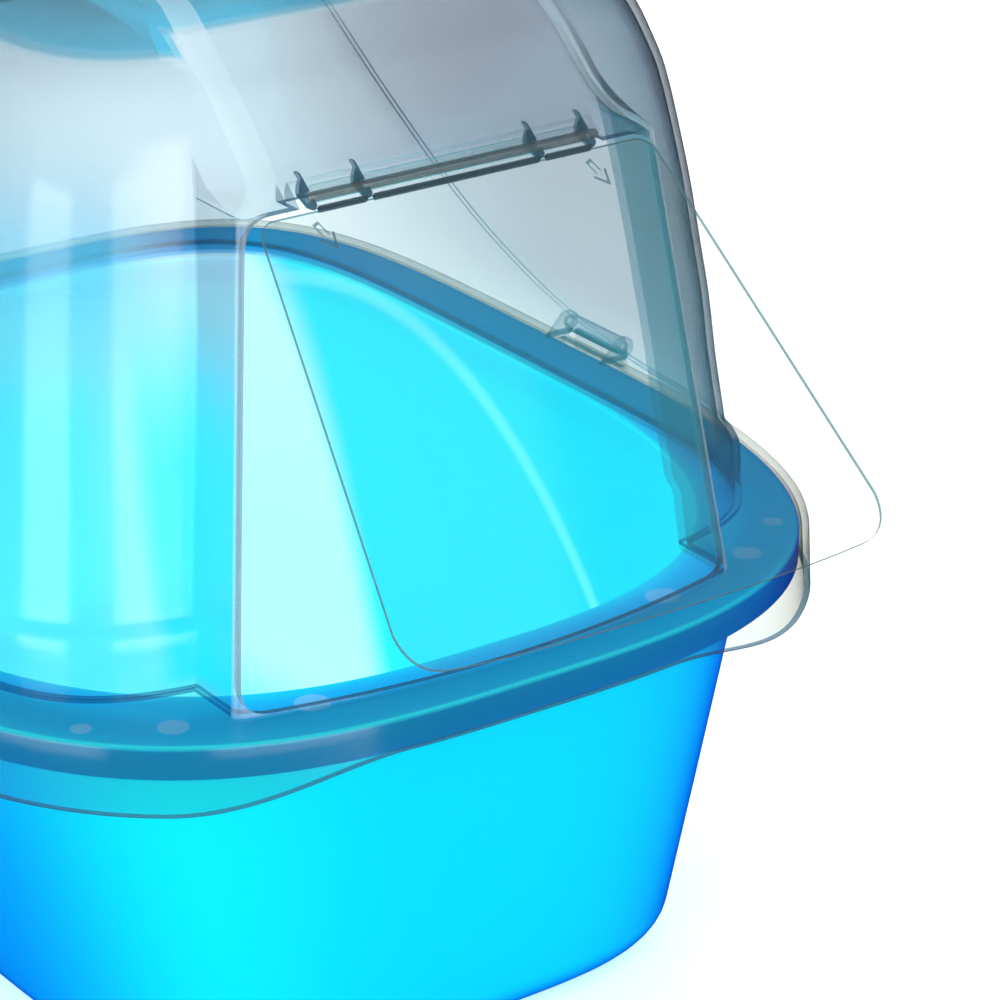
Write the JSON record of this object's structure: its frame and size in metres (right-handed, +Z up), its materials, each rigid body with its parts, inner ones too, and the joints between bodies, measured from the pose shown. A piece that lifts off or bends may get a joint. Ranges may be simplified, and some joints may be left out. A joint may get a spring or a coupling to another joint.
{
  "type": "cat litter box with hood",
  "caption": "Deep litter pan with a see-through hood dropped over its rim, a swinging door flap, a folding carry handle, a vented filter cassette in the roof and side latches.",
  "frame": {"origin": "on the floor, under the middle of the pan", "axes": "+Z up, the door faces -Y, +X to the right of someone facing the door"},
  "size_m": [0.463, 0.6191, 0.4496],
  "materials": {
    "pan_blue": "translucent cyan-blue polypropylene, smooth moulded gloss",
    "hood_smoke": "see-through smoke-grey polypropylene, smooth moulded gloss",
    "flap_clear": "clear thin sheet with polished faces",
    "filter_felt": "carbon-loaded needled felt"
  },
  "bodies": {
    "pan": {"base_pan": "pan_blue"},
    "hood": {"hood_shell": "hood_smoke", "hinge_rod": "hood_smoke"},
    "door": {"door_flap": "flap_clear"},
    "handle": {"carry_handle": "pan_blue"},
    "cassette": {"filter_tray": "hood_smoke", "filter_pad": "filter_felt"},
    "cassette_cover": {"filter_cover": "pan_blue"},
    "left_latch": {"latch_left": "hood_smoke"},
    "right_latch": {"latch_right": "hood_smoke"}
  },
  "joints": [
    {"name": "hood_lift", "type": "slide", "parent": "pan", "child": "hood", "axis": [0, 0, 1], "range_m": [0, 0.3]},
    {"name": "door_swing", "type": "hinge", "parent": "hood", "child": "door", "pos_m": [0, -0.20661, 0.3762], "axis": [-1, 0, 0], "range_deg": [-96, 39]},
    {"name": "handle_fold", "type": "hinge", "parent": "hood", "child": "handle", "pos_m": [0, 0, 0.4436], "axis": [-1, 0, 0], "range_deg": [0, 110]},
    {"name": "filter_lift", "type": "slide", "parent": "hood", "child": "cassette", "axis": [0, 0, 1], "range_m": [0, 0.06]},
    {"name": "cover_hinge", "type": "hinge", "parent": "cassette", "child": "cassette_cover", "pos_m": [0, 0.15, 0.4406], "axis": [-1, 0, 0], "range_deg": [0, 100]},
    {"name": "left_latch_hinge", "type": "hinge", "parent": "hood", "child": "left_latch", "pos_m": [-0.2232, 0, 0.1931], "axis": [0, 1, 0], "range_deg": [0, 100]},
    {"name": "right_latch_hinge", "type": "hinge", "parent": "hood", "child": "right_latch", "pos_m": [0.2232, 0, 0.1931], "axis": [0, -1, 0], "range_deg": [0, 100]}
  ]
}
